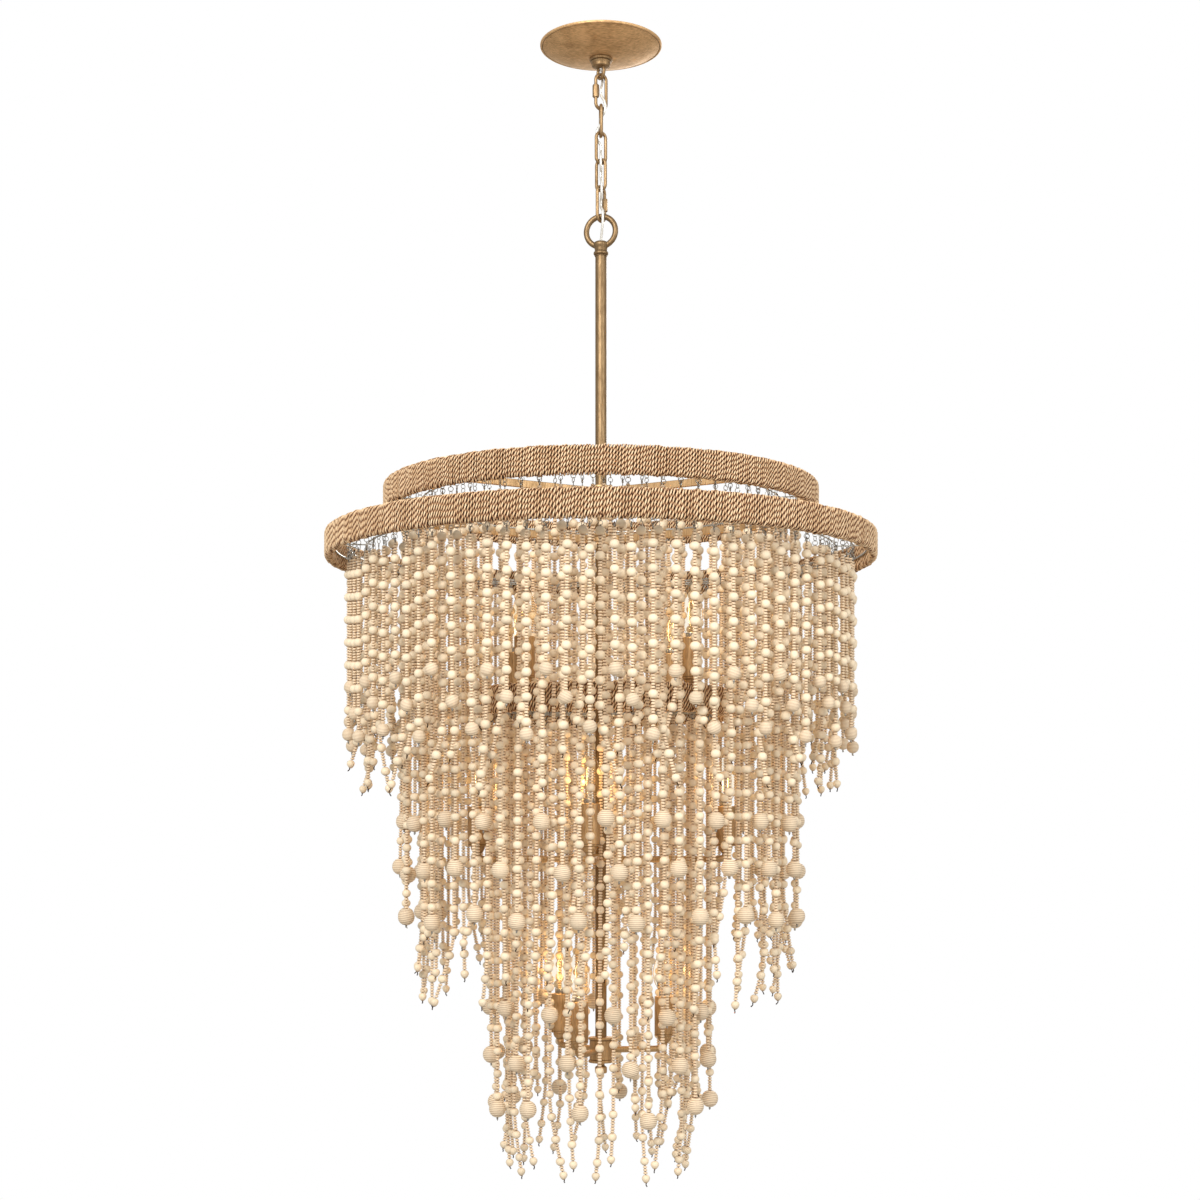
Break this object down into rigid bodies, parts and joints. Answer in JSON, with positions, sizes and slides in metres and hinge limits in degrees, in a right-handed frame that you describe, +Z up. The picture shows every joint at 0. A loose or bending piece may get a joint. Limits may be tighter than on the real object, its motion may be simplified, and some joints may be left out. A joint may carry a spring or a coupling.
{
  "type": "beaded chandelier",
  "caption": "Chandelier hung on a chain: rope-wrapped hoops on a stem carry tiered curtains of wooden bead strands round candle lamps.",
  "frame": {"origin": "middle of the bracket's top face, where the canopy meets the ceiling", "axes": "+Z up along the stem, -Y towards the picture's camera, +X to the right in the picture"},
  "size_m": [0.812, 0.812, 1.671],
  "materials": {
    "brass": "satin, brushed and slightly aged",
    "steel": "zinc plated",
    "rope": "twisted natural fibre",
    "wood": "bare, lightly sanded",
    "cord": "clear sheath over silvered strands",
    "bulb": "clear, with a lit filament"
  },
  "bodies": {
    "ceiling_mount": {"ceiling_bracket": "steel", "canopy_loop": "brass", "supply_cord_1": "cord"},
    "canopy": {"canopy": "brass"},
    "canopy_collar": {"canopy_collar": "brass"},
    "top_quick_link": {"quick_link_top": "brass", "supply_cord_2": "cord"},
    "top_sleeve": {"quick_link_top_sleeve": "brass"},
    "link_1": {"chain_link_1": "brass", "supply_cord_3": "cord"},
    "link_2": {"chain_link_2": "brass", "supply_cord_4": "cord"},
    "link_3": {"chain_link_3": "brass", "supply_cord_5": "cord"},
    "bottom_quick_link": {"quick_link_bottom": "brass", "supply_cord_6": "cord"},
    "bottom_sleeve": {"quick_link_bottom_sleeve": "brass"},
    "fixture": {"stem_loop": "brass", "stem": "brass", "upper_rope_hoop": "rope", "lower_rope_hoop": "rope", "inner_rope_hoop": "rope", "upper_hoop_spokes": "brass", "lower_hoop_spokes": "brass", "inner_hoop_frame": "brass", "middle_lamp_arms": "brass", "lower_lamp_arms": "brass", "finial": "brass", "bulb_upper_1": "bulb", "bulb_upper_2": "bulb", "bulb_upper_3": "bulb", "bulb_upper_4": "bulb", "bulb_middle_1": "bulb", "bulb_middle_2": "bulb", "bulb_middle_3": "bulb", "bulb_middle_4": "bulb", "bulb_lower_1": "bulb", "bulb_lower_2": "bulb", "bulb_lower_3": "bulb", "lower_hoop_strands_1": "wood", "lower_hoop_strands_2": "wood", "lower_hoop_strands_3": "wood", "lower_hoop_strands_4": "wood", "lower_hoop_strands_5": "wood", "lower_hoop_strands_6": "wood", "upper_hoop_strands_1": "wood", "upper_hoop_strands_2": "wood", "upper_hoop_strands_3": "wood", "upper_hoop_strands_4": "wood", "upper_hoop_strands_5": "wood", "upper_hoop_strands_6": "wood", "inner_hoop_strands_1": "wood", "inner_hoop_strands_2": "wood", "inner_hoop_strands_3": "wood", "inner_hoop_strands_4": "wood", "inner_hoop_strands_5": "wood", "inner_hoop_strands_6": "wood"}
  },
  "joints": [
    {"name": "collar_drop", "type": "slide", "parent": "ceiling_mount", "child": "canopy_collar", "axis": [0, 0, -1], "range_m": [0, 0.016]},
    {"name": "canopy_drop", "type": "slide", "parent": "ceiling_mount", "child": "canopy", "axis": [0, 0, -1], "range_m": [0, 0.016]},
    {"name": "hook_1_swing", "type": "hinge", "parent": "ceiling_mount", "child": "top_quick_link", "pos_m": [0, 0, -0.0494], "axis": [0.5, -0.866, 0], "range_deg": [-8, 8], "deforming": ["supply_cord_1"]},
    {"name": "hook_2_swing", "type": "hinge", "parent": "top_quick_link", "child": "link_1", "pos_m": [0, 0, -0.09515], "axis": [-0.9063, -0.4226, 0], "range_deg": [-8, 8], "deforming": ["supply_cord_2"]},
    {"name": "hook_3_swing", "type": "hinge", "parent": "link_1", "child": "link_2", "pos_m": [0, 0, -0.1352], "axis": [-0.0872, 0.9962, 0], "range_deg": [-8, 8], "deforming": ["supply_cord_3"]},
    {"name": "hook_4_swing", "type": "hinge", "parent": "link_2", "child": "link_3", "pos_m": [0, 0, -0.1753], "axis": [0.866, 0.5, 0], "range_deg": [-8, 8], "deforming": ["supply_cord_4"]},
    {"name": "hook_5_swing", "type": "hinge", "parent": "link_3", "child": "bottom_quick_link", "pos_m": [0, 0, -0.2154], "axis": [0.8192, -0.5736, 0], "range_deg": [-8, 8], "deforming": ["supply_cord_5"]},
    {"name": "hook_6_swing", "type": "hinge", "parent": "bottom_quick_link", "child": "fixture", "pos_m": [0, 0, -0.26115], "axis": [0.6428, 0.766, 0], "range_deg": [-8, 8], "deforming": ["supply_cord_6"]},
    {"name": "top_sleeve_screw", "type": "slide", "parent": "top_quick_link", "child": "top_sleeve", "axis": [0, 0, 1], "range_m": [0, 0.007]},
    {"name": "bottom_sleeve_screw", "type": "slide", "parent": "bottom_quick_link", "child": "bottom_sleeve", "axis": [0, 0, 1], "range_m": [0, 0.007]}
  ],
  "couplings": [
    {"joint": "canopy_drop", "follows": "collar_drop", "ratio": 1}
  ]
}
